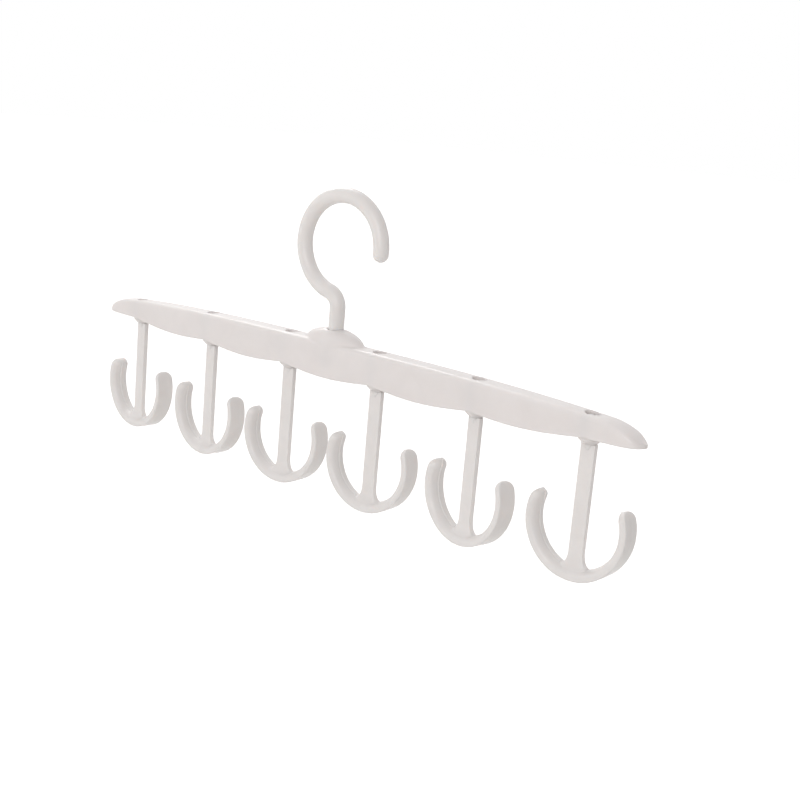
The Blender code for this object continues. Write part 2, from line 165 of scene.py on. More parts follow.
# The bar: one moulding of off-white polypropylene, an open channel with tapering ends,
# a scalloped skirt and an oval dome, all one satin skin drawn from a polished steel mould.
MM = 0.001
HOOK_PITCH = 56.0 * MM
BOSS_PLACES = (np.arange(6) - 2.5) * HOOK_PITCH
OUTER_BOSS_X = 2.5 * HOOK_PITCH
NOSE_X = 146.8 * MM
BOW_X = 156.8 * MM
BAR_END_X = 164.8 * MM
BAR_CREST_Z = -61.8 * MM
CREST_FALL = 3.4 * MM
CREST_FALL_X = 148.0 * MM
NOSE_FALL = 5.6 * MM
NOSE_POWER = 0.9
TIP_THICK = 1.2 * MM
CUSP_DROP = 14.35 * MM
CUSP_RISE = 2.15 * MM
BAY_DEPTH = 2.2 * MM
BAY_LOSS = 0.3
MID_HALF = 6.35 * MM
HALF_LOSS = 0.6 * MM
TIP_HALF = 0.5 * MM
BOW_POWER = 0.5
EDGE_ROUND = 2.2 * MM
EDGE_SHARE_OF_HALF = 0.97
EDGE_SHARE_OF_HEIGHT = 0.8
CROWN_RISE = 0.2 * MM
SIDE_DRAFT = 0.2 * MM
DOME_BASE = -2.2 * MM
DOME_RISE = 8.1 * MM
DOME_HALF_LONG = 18.0 * MM
DOME_HALF_WIDE = 6.2 * MM
DOME_LONG_POWER = 2.2
DOME_WIDE_POWER = 3.5
DOME_BLEND = 2.2 * MM
SKIN_FARTHEST = 20.0 * MM
HALVINGS = 36
MIRROR = np.array([1.0, -1.0, 1.0])


def smooth_max(one, other, reach):
    """The larger of two values, rounded off where they differ by less than reach."""
    near = np.maximum(reach - np.abs(one - other), 0.0)
    return np.maximum(one, other) + near ** 2 / (4.0 * np.maximum(reach, 1e-9))


def end_fade(x, start, power):
    """One along the bar, then from start on a superellipse falling to zero at the tips."""
    return (1.0 - np.clip((np.abs(x) - start) / (BAR_END_X - start), 0.0, 1.0) ** 2) ** power


def bar_half(x):
    """Half the bar's depth: a square law from mid length to the outer hooks, then a round bow."""
    depth = MID_HALF - HALF_LOSS * np.minimum(1.0, np.abs(x) / OUTER_BOSS_X) ** 2
    return TIP_HALF + (depth - TIP_HALF) * end_fade(x, BOW_X, BOW_POWER)


def crest_line(x):
    """The bar's top: a cubic fall towards the ends, then the nose's drop."""
    fall = CREST_FALL * (np.abs(x) / CREST_FALL_X) ** 3
    return BAR_CREST_Z - fall - NOSE_FALL * (1.0 - end_fade(x, NOSE_X, NOSE_POWER))


def cusp_line(x):
    """The skirt's height at the hooks, rising with the cube of the distance."""
    return BAR_CREST_Z - CUSP_DROP + CUSP_RISE * np.minimum(1.0, np.abs(x) / OUTER_BOSS_X) ** 3


def skirt_line(x):
    """The lower edge: half sine waves between the hooks, then a cubic sweep up to the tips."""
    sag = BAY_DEPTH * (1.0 - BAY_LOSS * np.minimum(1.0, np.abs(x) / OUTER_BOSS_X) ** 2)
    bay = cusp_line(x) - sag * np.abs(np.sin(math.pi * (x + OUTER_BOSS_X) / HOOK_PITCH))
    beyond = np.clip((np.abs(x) - OUTER_BOSS_X) / (BAR_END_X - OUTER_BOSS_X), 0.0, 1.0)
    lift = crest_line(BAR_END_X) - TIP_THICK - cusp_line(OUTER_BOSS_X)
    nose = cusp_line(OUTER_BOSS_X) + lift * beyond ** 3
    return np.where(np.abs(x) <= OUTER_BOSS_X, bay, nose)


def shoulders(x):
    """Per station: the flat's half width, the edge radius, the crown and the height of the edge's centre."""
    half = bar_half(x)
    slim = np.minimum(1.0, half / EDGE_ROUND)
    crown = CROWN_RISE * slim
    radius = np.minimum(EDGE_ROUND, (half - SIDE_DRAFT * slim) * EDGE_SHARE_OF_HALF)
    radius = np.minimum(radius, (crest_line(x) - crown - skirt_line(x)) * EDGE_SHARE_OF_HEIGHT)
    return half - SIDE_DRAFT * slim - radius, radius, crown, crest_line(x) - crown - radius


def skin_reach(x, turn):
    """How far the skin lies from the edges' centre line at a turn from the front.

    The bare bar is a parabola between two quarter circles. The dome is a stack of ovals whose
    length and width shrink as superellipses; its reach is found by halving. The larger counts,
    rounded off where they meet on top.
    """
    flat, radius, crown, level = shoulders(x)
    across, upward = np.abs(np.cos(turn)), np.sin(turn)
    arc = flat * across + np.sqrt(np.maximum(radius ** 2 - (flat * upward) ** 2, 0.0))
    bend = 4.0 * crown / flat ** 2 * across ** 2 * (radius + crown)
    top = 2.0 * (radius + crown) / (upward + np.sqrt(upward ** 2 + bend))
    bare = np.where(np.arctan2(upward, across) < np.arctan2(radius, flat), arc, top)
    low, high = np.zeros_like(bare), np.full_like(bare, SKIN_FARTHEST)
    for _ in range(HALVINGS):
        middle = (low + high) / 2.0
        rise = np.clip((level - BAR_CREST_Z + middle * upward - DOME_BASE) / DOME_RISE, 0.0, 0.9999)
        long = DOME_HALF_LONG * (1.0 - rise ** DOME_LONG_POWER) ** (1.0 / DOME_LONG_POWER)
        wide = DOME_HALF_WIDE * (1.0 - rise ** DOME_WIDE_POWER) ** (1.0 / DOME_WIDE_POWER)
        inside = (x / long) ** 2 + (middle * across / wide) ** 2 < 1.0
        low, high = np.where(inside, middle, low), np.where(inside, high, middle)
    return smooth_max(bare, low, DOME_BLEND * upward ** 2)


def skin_point(x, turn):
    """The skin's point at a station and a turn from the front over the top to the back."""
    reach = skin_reach(x, turn)
    level = shoulders(x)[3]
    return np.stack([x + 0.0 * turn, -reach * np.cos(turn), level + reach * np.sin(turn)], -1)


def skin_turn(x, y):
    """The turn at which the skin has a given y, found by halving."""
    low, high = np.zeros_like(x), np.full_like(x, math.pi / 2)
    for _ in range(HALVINGS):
        middle = (low + high) / 2.0
        wide = skin_reach(x, middle) * np.cos(middle) > np.abs(y)
        low, high = np.where(wide, middle, low), np.where(wide, high, middle)
    return np.where(y <= 0.0, low, math.pi - low)


def grid_faces(rows, columns, start=0, closed=False):
    """Quads between neighbours of a grid of points numbered row by row."""
    row = np.arange(rows - 1)[:, None] * columns
    column = np.arange(columns if closed else columns - 1)[None, :]
    after = (column + 1) % columns
    quads = np.stack([row + column, row + after, row + columns + after, row + columns + column], -1)
    return start + quads.reshape(-1, 4)


def band_faces(one, other):
    """Quads between two closed rings of point numbers."""
    return np.stack([one, np.roll(one, -1), np.roll(other, -1), other], -1)


def make_piece(name, shells, finish, body, node):
    """One piece from shells of (points, faces): joined, welded, faced outward and shaded smooth."""
    points, faces, start = [], [], 0
    for shell_points, shell_faces in shells:
        used = np.unique(np.concatenate([group.ravel() for group in shell_faces]))
        number = np.zeros(len(shell_points), int)
        number[used] = start + np.arange(len(used))
        points.append(shell_points[used])
        for group in shell_faces:
            faces += number[group].tolist()
        start += len(used)
    data = bpy.data.meshes.new(name)
    data.from_pydata(np.concatenate(points).tolist(), [], faces)
    shape = bmesh.new()
    shape.from_mesh(data)
    bmesh.ops.remove_doubles(shape, verts=shape.verts, dist=1e-6)
    bmesh.ops.recalc_face_normals(shape, faces=shape.faces)
    shape.to_mesh(data)
    shape.free()
    data.polygons.foreach_set("use_smooth", np.ones(len(data.polygons), dtype=bool))
    data.set_sharp_from_angle(angle=math.radians(42.0))
    data.materials.append(finish)
    made = bpy.data.objects.new(name, data)
    bpy.context.scene.collection.objects.link(made)
    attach(made, body)
    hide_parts(node)
    return made


# The bar's net: stations along it stand close at the holes, and the lines round its section are
# closest on the edges. Each hole's window is 24 by 24 cells of that net, outside and inside.
WINDOW_HALF = 6.0 * MM
WINDOW_CELLS = 24
STATION_GAP = 1.1 * MM
NOSE_STATIONS = 26
BAR_WALL = 1.8 * MM
SLIM_CAVITY = 0.45
RUNOUT = 9.0 * MM
FOOT_ROUND = 0.4 * MM
FOOT_SHARE = 0.3
CEILING_ROUND = 0.4 * MM
CEILING_SHARE = 0.2
RELIEF_DEPTH = 0.9 * MM
RELIEF_REACH = 2.9 * MM


def bar_stations():
    """X of every station: fine across each hole, wider between, closing up at the tips."""
    holes = np.sort(np.append(BOSS_PLACES, 0.0))
    spans, firsts = [], []
    nose = BAR_END_X - holes[-1] - WINDOW_HALF
    closing = np.linspace(0.0, math.pi / 2, NOSE_STATIONS)
    spans.append(-BAR_END_X + nose * (1.0 - np.cos(closing))[:-1])
    for number, hole in enumerate(holes):
        firsts.append(sum(len(span) for span in spans))
        spans.append(hole + np.linspace(-WINDOW_HALF, WINDOW_HALF, WINDOW_CELLS, endpoint=False))
        if number + 1 < len(holes):
            gap = (hole + WINDOW_HALF, holes[number + 1] - WINDOW_HALF)
            cells = int(math.ceil((gap[1] - gap[0]) / STATION_GAP))
            spans.append(np.linspace(gap[0], gap[1], cells, endpoint=False))
    spans.append(BAR_END_X - nose * np.cos(closing))
    return np.concatenate(spans), holes, firsts


def foot_radius(x):
    """The rounding of the skirt's lower edge, smaller where the bar is low."""
    return np.minimum(FOOT_ROUND, FOOT_SHARE * (shoulders(x)[3] - skirt_line(x)))


def outer_section(x):
    """Lines of the front's foot and side, lines of the skin over the top, and the turns of those."""
    half, skirt, foot = bar_half(x), skirt_line(x), foot_radius(x)
    flat, radius, crown, level = shoulders(x)
    bend = np.radians(np.linspace(0.0, 90.0, 5))[None, :]
    side = np.linspace(0.0, 1.0, 11)[None, 1:-1]
    edge = np.radians(np.arange(0.0, 90.0, 10.0))[None, :]
    over = np.linspace(1.0, -1.0, 13)[None, :]
    turn_edge = np.arctan2(radius * np.sin(edge), flat + radius * np.cos(edge))
    turn_over = np.arctan2(radius + crown * (1.0 - over ** 2), flat * over)
    turn = np.concatenate([turn_edge, turn_over, math.pi - turn_edge[:, ::-1]], axis=1)
    skin = skin_point(x, turn)
    front_foot = np.stack([x + 0.0 * bend, -half + foot * (1.0 - np.sin(bend)),
                           skirt + foot * (1.0 - np.cos(bend))], -1)
    front_side = np.stack([x + 0.0 * side, -half * (1.0 - side) + skin[:, :1, 1] * side,
                           (skirt + foot) * (1.0 - side) + level * side], -1)
    return np.concatenate([front_foot, front_side], axis=1), skin, turn


def inner_section(x, holes):
    """Lines of the channel's inside: foot, side and upper edge at the back, and its ceiling.

    The wall is thinner beside each hole, where the boss hides it. The channel runs out in the
    noses as a quarter of an ellipse.
    """
    half, skirt, foot = bar_half(x), skirt_line(x), foot_radius(x)
    beside = np.min(np.abs(x - holes), axis=1)[:, None] / RELIEF_REACH
    inside = np.maximum(half - BAR_WALL, SLIM_CAVITY * half)
    inside = inside + RELIEF_DEPTH * np.maximum(1.0 - beside ** 2, 0.0) ** 2
    deep = np.sqrt(np.clip(1.0 - (np.maximum(np.abs(x) - NOSE_X, 0.0) / RUNOUT) ** 2, 0.0, 1.0))
    ceiling = skirt + (crest_line(x) - BAR_WALL - skirt) * deep
    soft = np.minimum(CEILING_ROUND, CEILING_SHARE * half)
    bend = np.radians(np.linspace(0.0, 90.0, 5))[None, :]
    rise = np.linspace(0.0, 1.0, 8)[None, 1:-1]
    under = np.linspace(1.0, -1.0, WINDOW_CELLS + 1)[None, 1:-1]
    back_foot = np.stack([x + 0.0 * bend, inside + foot * (1.0 - np.sin(bend)),
                          skirt + foot * (1.0 - np.cos(bend)) * deep], -1)
    back_side = np.stack([x + 0.0 * rise, inside + 0.0 * rise,
                          (skirt + foot * deep) * (1.0 - rise) + (ceiling - soft * deep) * rise], -1)
    back_edge = np.stack([x + 0.0 * bend, inside - soft * (1.0 - np.cos(bend)),
                          ceiling - soft * deep * (1.0 - np.sin(bend))], -1)
    top = np.stack([x + 0.0 * under, (inside - soft) * under, ceiling + 0.0 * under], -1)
    return np.concatenate([back_foot, back_side, back_edge], axis=1), top


def bar_net():
    """The closed section at every station, the skin's turns, and where the windows start."""
    x, holes, firsts = bar_stations()
    outer, skin, turn = outer_section(x[:, None])
    inner, top = inner_section(x[:, None], holes)
    net = np.concatenate([outer, skin, outer[:, ::-1] * MIRROR, inner, top, inner[:, ::-1] * MIRROR], axis=1)
    lead = outer.shape[1]
    first_top = lead + (skin.shape[1] - 1 - WINDOW_CELLS) // 2
    first_under = 2 * lead + skin.shape[1] + inner.shape[1] - 1
    return net, turn, holes, firsts, first_top, first_under, lead


def window_rim(first_station, first_line):
    """Station and line numbers round a window, starting at its first corner."""
    step = np.arange(WINDOW_CELLS)
    full = np.full(WINDOW_CELLS, WINDOW_CELLS)
    none = np.zeros(WINDOW_CELLS, int)
    station = np.concatenate([step, full, WINDOW_CELLS - step, none])
    line = np.concatenate([none, step, full, WINDOW_CELLS - step])
    return first_station + station, first_line + line


def match_rims(circle, target):
    """For each point of a hole's circle, its partner on the inner window, turning the same way."""
    size = len(circle)
    best, chosen = None, None
    for sense in (1, -1):
        for shift in range(0, size, WINDOW_CELLS):
            order = (sense * np.arange(size) + shift) % size
            length = np.sum((circle - target[order]) ** 2)
            if best is None or length < best:
                best, chosen = length, order
    return chosen


# The holes: one in each boss with a rim that stands a hair proud and follows the bar's top,
# and a plain one in the dome, where the top hook's shank goes through.
RIM_ROUND = 4.1 * MM
RIM_RISE = 0.1 * MM
RIM_SPREAD = 0.2 * MM
RIM_TOE = 0.06 * MM
BOSS_BORE = 3.3 * MM
BOSS_LIP = 0.25 * MM
BOSS_RINGS = 5
HUB_BORE = 3.75 * MM
HUB_LIP = 0.5 * MM
HUB_RINGS = 12


def hole_rings(hole, angle, window_x, window_turn, bottom):
    """Rings from a window's rim over the hole's lip, down its wall and out to the inner window.

    The rings on the skin go in even steps to a circle, and the rim and lip are quarter rounds.
    """
    hub = hole == 0.0
    bore, lip, rings = (HUB_BORE, HUB_LIP, HUB_RINGS) if hub else (BOSS_BORE, BOSS_LIP, BOSS_RINGS)
    base = HUB_BORE + HUB_LIP if hub else RIM_ROUND + RIM_SPREAD
    base_x = hole + base * np.cos(angle)
    base_turn = skin_turn(base_x, base * np.sin(angle))
    share = np.linspace(0.0, 1.0, rings + 1)[1:, None]
    skin = skin_point(window_x * (1.0 - share) + base_x * share,
                      window_turn * (1.0 - share) + base_turn * share)
    over = np.radians(np.linspace(0.0, 90.0, 6))[1:]
    rim, steps = skin[-1][:, 2], []
    if not hub:
        steps.append((RIM_ROUND + RIM_TOE, rim + 0.1 * RIM_RISE))
        rim = rim + RIM_RISE
        steps += [(RIM_ROUND - RIM_RISE * (1.0 - math.cos(a)), rim - RIM_RISE * (1.0 - math.sin(a)))
                  for a in over]
        steps.append((bore + lip, rim))
    steps += [(bore + lip * (1.0 - math.sin(a)), rim - lip * (1.0 - math.cos(a))) for a in over]
    steps.append((bore, bottom[:, 2].mean() + 0.0 * rim))
    wall = [np.stack([hole + radius * np.cos(angle), radius * np.sin(angle), level], -1)
            for radius, level in steps]
    partner = match_rims(wall[-1], bottom)
    share = np.linspace(0.0, 1.0, 4)[1:-1, None, None]
    below = wall[-1] * (1.0 - share) + bottom[partner] * share
    return np.concatenate([skin, np.stack(wall), below]), partner


def bar_shell():
    """The channel with its seven holes as one closed surface.

    Round each hole the net is cut open outside and inside, and the hole's rings join the two
    windows. A fan closes each tip.
    """
    net, turn, holes, firsts, first_top, first_under, lead = bar_net()
    stations, lines = net.shape[:2]
    points, faces, start = [net.reshape(-1, 3)], [], stations * lines
    keep = np.ones((stations - 1, lines), bool)
    for hole, first in zip(holes, firsts):
        for first_line in (first_top, first_under):
            keep[first:first + WINDOW_CELLS, first_line:first_line + WINDOW_CELLS] = False
        station, line = window_rim(first, first_top)
        below_station, below_line = window_rim(first, first_under)
        angle = np.arctan2(line - first_top - WINDOW_CELLS / 2, station - first - WINDOW_CELLS / 2)
        rings, partner = hole_rings(hole, angle, net[station, line, 0], turn[station, line - lead],
                                    net[below_station, below_line])
        count, columns = rings.shape[:2]
        around = np.arange(columns)
        points.append(rings.reshape(-1, 3))
        faces.append(grid_faces(count, columns, start, closed=True))
        faces.append(band_faces(station * lines + line, start + around))
        faces.append(band_faces(start + (count - 1) * columns + around,
                                (below_station * lines + below_line)[partner]))
        start += count * columns
    faces.append(grid_faces(stations, lines, closed=True).reshape(stations - 1, lines, 4)[keep])
    for number, row in enumerate((0, stations - 1)):
        ring = row * lines + np.arange(lines)
        faces.append(np.stack([ring, np.roll(ring, -1), np.full(lines, start + number)], -1))
        points.append(net[row].mean(0)[None])
    return np.concatenate(points), faces


# The plastic: each kind of piece has its own mix of roughness, flow marks and milkiness.
# The real ripple is near 0.1 mm; it is drawn at 0.5 mm, which shows in the render.
FLOW_STOPS = (0.3, 0.7)
GRAIN_SIZE = 1.6 * MM
GLOSS_SPREAD = 0.05
RIPPLE_SIZE = 0.5 * MM
RIPPLE_STRENGTH = 0.25
RIPPLE_HEIGHT = 0.02 * MM
PLASTIC_IOR = 1.49
MILK_DEPTH = 3.0 * MM
MILK_TINT = (1.0, 0.92, 0.85)


def moulded_plastic(name, base, deep, roughness, swirl_mm, milky):
    """Polypropylene as it leaves a polished mould: satin, slightly milky, with faint flow marks.

    Broad flow marks tint it a little, a finer grain breaks up the gloss, and a very fine ripple
    keeps reflections from being glassy.
    """
    finish = bpy.data.materials.new(name)
    finish.use_nodes = True
    tree = finish.node_tree
    shader = tree.nodes["Principled BSDF"]
    place = add_node(tree, "ShaderNodeTexCoord").outputs["Object"]
    flow = add_node(tree, "ShaderNodeTexNoise", {"Vector": place},
                    Scale=1.0 / (swirl_mm * MM), Detail=3.0, Roughness=0.55, Distortion=0.6)
    tint = add_node(tree, "ShaderNodeValToRGB", {"Fac": flow.outputs["Fac"]})
    for stop, position, colour in zip(tint.color_ramp.elements, FLOW_STOPS, (deep, base)):
        stop.position = position
        stop.color = linear(colour)
    grain = add_node(tree, "ShaderNodeTexNoise", {"Vector": place}, Scale=1.0 / GRAIN_SIZE, Detail=2.0)
    gloss = add_node(tree, "ShaderNodeMapRange", {"Value": grain.outputs["Fac"]},
                     To_Min=roughness - GLOSS_SPREAD, To_Max=roughness + GLOSS_SPREAD)
    ripple = add_node(tree, "ShaderNodeTexNoise", {"Vector": place}, Scale=1.0 / RIPPLE_SIZE, Detail=2.0)
    relief = add_node(tree, "ShaderNodeBump", {"Height": ripple.outputs["Fac"]},
                      Strength=RIPPLE_STRENGTH, Distance=RIPPLE_HEIGHT)
    tree.links.new(tint.outputs["Color"], shader.inputs["Base Color"])
    tree.links.new(gloss.outputs["Result"], shader.inputs["Roughness"])
    tree.links.new(relief.outputs["Normal"], shader.inputs["Normal"])
    shader.inputs["IOR"].default_value = PLASTIC_IOR
    shader.inputs["Subsurface Weight"].default_value = milky
    shader.inputs["Subsurface Radius"].default_value = MILK_TINT
    shader.inputs["Subsurface Scale"].default_value = MILK_DEPTH
    return finish


bar_finish = moulded_plastic("satin_polypropylene_bar", "#E7E1DF", "#E3DDDB", 0.32, 14.0, 0.35)
make_piece("bar_channel", [bar_shell()], bar_finish, "bar", "bar_body")

# The six bosses are tubes moulded with the channel. Each has a chamfered foot, a narrow hole for
# the hook's neck, and a ledge above it that the snap head rests on.
BOSS_FOOT_DROP = 2.8 * MM
BOSS_SINK = 1.2 * MM
BOSS_FOOT = [(2.3, 0.2), (2.5, 0.0), (2.95, 0.0), (3.15, 0.06), (4.78, 1.66), (4.87, 1.8), (4.9, 2.1)]
BOSS_TOP = [(4.75, 0.0), (3.35, 0.0)]
BOSS_LEDGE = [(3.35, 7.6), (2.4, 7.6), (2.3, 7.5)]


def in_metres(pairs, level=0.0):
    """Pairs of radius and height in millimetres as metres, with heights counted from a level."""
    return [(radius * MM, level + height * MM) for radius, height in pairs]


def boss_foot_z(x):
    """The height of a boss's foot, a little below the skirt's cusp."""
    return float(cusp_line(x)) - BOSS_FOOT_DROP


def turned_shell(profile, centre, sides=64):
    """A closed profile of (radius, height) points turned about an upright axis."""
    profile = np.array(profile)
    turn = np.linspace(0.0, math.tau, sides, endpoint=False)
    x = centre + profile[:, :1] * np.cos(turn)
    y = profile[:, :1] * np.sin(turn)
    z = np.broadcast_to(profile[:, 1:], x.shape)
    points = np.stack([x, y, z], -1).reshape(-1, 3)
    around = np.concatenate([points, points[:sides]])
    return around, [grid_faces(len(profile) + 1, sides, closed=True)]


for number, x in enumerate(BOSS_PLACES, start=1):
    tube = in_metres(BOSS_FOOT, boss_foot_z(x)) + in_metres(BOSS_TOP, float(crest_line(x)) - BOSS_SINK)
    tube += in_metres(BOSS_LEDGE, boss_foot_z(x))
    make_piece("bar_boss_%d" % number, [turned_shell(tube, x)], bar_finish, "bar", "bar_body")

# The hub post is a wider tube moulded under the dome. The top hook's neck turns in the narrow
# hole of its floor, and the hook's snap head holds it from below.
HUB_FOOT_Z = BAR_CREST_Z - 11.0 * MM
HUB_POST = [(2.9, 0.2), (3.1, 0.0), (5.5, 0.0), (5.8, 0.3), (5.75, 10.0), (3.95, 10.0), (3.95, 4.0),
            (3.0, 4.0), (2.9, 3.9)]
hub_post = turned_shell(in_metres(HUB_POST, HUB_FOOT_Z), 0.0)
make_piece("bar_hub_post", [hub_post], bar_finish, "bar", "bar_body")

# The anchor hooks: six alike mouldings of the same plastic, a flat stem that spreads into two
# half-round arms, with a round neck and a split snap head that clicks into the boss.
REST_TURNS_DEG = (-3.0, -2.0, 5.0, 5.0, -7.0, 3.0)
HANG_DEPTH = 55.3 * MM
ARC_OUTER = 22.7 * MM
ARC_THICK = 4.3 * MM
ARC_INNER = ARC_OUTER - ARC_THICK
ARC_LEVEL = ARC_OUTER - HANG_DEPTH
ARM_HALF_DEPTH = 4.65 * MM
ARM_FLAT = 1.0 * MM
ARM_CORNER = 0.6 * MM
ARM_FULLNESS = 2.5
ARM_END = math.radians(118.0)
ARM_TIP_TURN = 4.0 * MM / (ARC_OUTER - ARC_THICK / 2)
TIP_POWER = 0.6
SEAM_HALF = 0.45 * MM
SEAM_PROUD = 0.07 * MM
SEAM_REACH = 0.25 * MM
RIDGE_PROUD = 0.28 * MM
STEM_HALF_WIDE = 3.25 * MM
STEM_HALF_THICK = 1.25 * MM
STEM_CORNER = 0.28 * MM
STEM_TOP = -0.12 * MM
WEB_WIDE = 3.0 * MM
WEB_HIGH = 6.0 * MM
WEB_FLARE = 1.7 * MM
WEB_RISE = 4.5 * MM
WEB_SINK = 0.8 * MM
WEB_BLEND = 0.9 * MM
WEB_X = STEM_HALF_WIDE + WEB_WIDE
WEB_TURN = math.asin(WEB_X / ARC_INNER)


def rounded(distance):
    """A quarter circle's rise from the stem's edge to its flat."""
    return np.sqrt(1.0 - (1.0 - np.clip(distance / STEM_CORNER, 0.0, 1.0)) ** 2)


def web_depth(share, above_arc, climb, wide, below_top):
    """Half depth of the stem and its foot: flat, rounded at the edges, swelling into the arms.

    share runs from -1 to 1 across it, above_arc is the distance up from the arms' inner face, and
    climb goes from zero on the arc to one where the fillets end.
    """
    edge = SEAM_HALF + (STEM_HALF_THICK - STEM_CORNER - SEAM_HALF) * np.clip(2.0 * climb, 0.0, 1.0)
    middle = STEM_HALF_THICK - edge
    rise = rounded((1.0 - np.abs(share)) * wide) * rounded(below_top)
    swell = np.maximum(1.0 - np.maximum(above_arc, -WEB_SINK) / WEB_RISE, 0.0) ** 2
    return edge + middle * rise + WEB_FLARE * swell * (1.0 - share ** 4)


def arm_sheet(turns):
    """Front face of both arms: a net of turns along the arc by lines from its outer to its inner edge.

    The section has a small corner, a narrow flat and a quarter of a full-bodied superellipse.
    Beyond the arm's end it shrinks. Under the stem it blends into the stem's foot.
    """
    turns = turns[:, None]
    past = np.clip((np.abs(turns) - (ARM_END - ARM_TIP_TURN)) / ARM_TIP_TURN, 0.0, 1.0)
    slim = np.sqrt(1.0 - past ** 2)
    corner = np.radians(np.linspace(0.0, 90.0, 6))[None, :]
    power = 2.0 / ARM_FULLNESS
    last = math.acos((SEAM_HALF / ARM_HALF_DEPTH) ** (1.0 / power))
    dome = last * np.linspace(0.0, 1.0, 17)[None, :] ** 0.9
    domed = ARM_FLAT + (ARC_THICK - ARM_FLAT) * (np.sin(dome) / math.sin(last)) ** power
    across = np.concatenate([ARM_CORNER * (1.0 - np.cos(corner)), domed], axis=1)
    depth = np.concatenate([ARM_HALF_DEPTH - ARM_CORNER * (1.0 - np.sin(corner)),
                            ARM_HALF_DEPTH * np.cos(dome) ** power], axis=1)
    thick = ARC_THICK * slim ** TIP_POWER
    radius = ARC_OUTER - (ARC_THICK - thick) / 2 - across * slim ** TIP_POWER
    depth = depth * slim
    share = np.clip(turns / WEB_TURN, -1.0, 1.0)
    web = web_depth(share, ARC_INNER - radius, 0.0 * share, ARC_INNER * math.sin(WEB_TURN), 1.0)
    mixed = smooth_max(depth, web, WEB_BLEND * (1.0 - share ** 4))
    depth = np.where(np.abs(turns) < WEB_TURN, mixed, depth)
    return np.stack([radius * np.sin(turns), -depth, ARC_LEVEL - radius * np.cos(turns)], -1)


def stem_sheet(turns):
    """Front face of the stem: rows from the arc's inner edge, through the fillets, to its top."""
    shares = (turns / WEB_TURN)[None, :]
    spread = np.sin(turns[None, :]) / math.sin(WEB_TURN)
    web_z = ARC_LEVEL - ARC_INNER * math.cos(WEB_TURN) + WEB_HIGH
    climb = np.linspace(0.0, 1.0, 15)[:, None]
    bend = math.pi * (1.5 - 0.5 * climb)
    wide = WEB_X + WEB_WIDE * np.cos(bend)
    bulge = ARC_INNER * (np.cos(turns[None, :]) - math.cos(WEB_TURN)) * (1.0 - climb)
    z_low = web_z + WEB_HIGH * np.sin(bend) - bulge
    top_rows = STEM_TOP - STEM_CORNER * (1.0 - np.sin(np.radians(np.linspace(0.0, 90.0, 6))))
    straight = np.linspace(web_z, top_rows[0], 16)[1:-1]
    z_high = np.concatenate([straight, top_rows])[:, None]
    x = np.concatenate([wide * spread, STEM_HALF_WIDE * spread + 0.0 * z_high])
    z = np.concatenate([z_low, z_high + 0.0 * spread])
    climbs = np.concatenate([climb, np.ones_like(z_high)])
    wides = np.concatenate([wide, np.full_like(z_high, STEM_HALF_WIDE)])
    above_arc = np.where(z < ARC_LEVEL, ARC_INNER - np.hypot(x, z - ARC_LEVEL), ARC_INNER)
    web = web_depth(np.sign(shares) * np.abs(spread), above_arc, climbs, wides, STEM_TOP - z)
    depth = smooth_max(SEAM_HALF * (1.0 - climbs), web, WEB_BLEND * (1.0 - shares ** 4) * (1.0 - climbs))
    return np.stack([x, -depth, z], -1)


def anchor_shell():
    """Arms and stem as one closed surface: the front sheet, its mirror image, and a strip between them.

    The strip follows the whole outline. Where the mould halves met, a fine seam runs along its
    middle, and a rounded ridge along the arms' inner faces.
    """
    inner = WEB_TURN * np.sin(np.linspace(-math.pi / 2, math.pi / 2, 33))
    arm = np.linspace(WEB_TURN, ARM_END - ARM_TIP_TURN, 46)[1:]
    tip = ARM_END - ARM_TIP_TURN + ARM_TIP_TURN * np.sin(np.radians(np.linspace(0.0, 88.0, 13)))[1:]
    right = np.concatenate([arm, tip])
    turns = np.concatenate([-right[::-1], inner, right])
    arms, stem = arm_sheet(turns), stem_sheet(inner)
    stem[0] = arms[len(right):len(right) + len(inner), -1]
    front = np.concatenate([arms.reshape(-1, 3), stem.reshape(-1, 3)])
    arm_faces = grid_faces(*arms.shape[:2])
    stem_faces = grid_faces(*stem.shape[:2], start=arms.shape[0] * arms.shape[1])
    outline = np.concatenate([arms[:, 0], arms[-1, 1:], arms[::-1, -1][1:len(right) + 1],
                              stem[1:, -1], stem[-1, ::-1][1:], stem[::-1, 0][1:],
                              arms[::-1, -1][len(right) + len(inner):], arms[0, ::-1][1:-1]])
    run = np.roll(outline, -1, axis=0) - np.roll(outline, 1, axis=0)
    outward = np.stack([-run[:, 2], 0.0 * run[:, 0], run[:, 0]], -1)
    outward = outward / np.maximum(np.linalg.norm(outward, axis=1, keepdims=True), 1e-9)
    ridged = np.concatenate([np.zeros(len(turns) + arms.shape[1] - 1), np.ones(len(right)),
                             np.zeros(2 * len(stem) + len(inner) - 3), np.ones(len(right)),
                             np.zeros(arms.shape[1] - 2)])
    across = np.array([-1.0, -0.7, -0.4, -0.1, 0.0, 0.1, 0.4, 0.7, 1.0])[:, None]
    y = outline[None, :, 1] * -across
    proud = SEAM_PROUD * np.exp(-(y / SEAM_REACH) ** 2) * (np.abs(across) < 1.0)
    proud = np.where(ridged > 0.0, RIDGE_PROUD * (1.0 - across ** 4), proud)
    strip = np.stack([outline[None, :, 0] + 0.0 * y, y, outline[None, :, 2] + 0.0 * y], -1)
    strip = strip - outward[None] * proud[..., None]
    strip_faces = grid_faces(len(across), len(outline), closed=True)
    return [(front, [arm_faces, stem_faces]), (front * MIRROR, [arm_faces, stem_faces]),
            (strip.reshape(-1, 3), [strip_faces])]


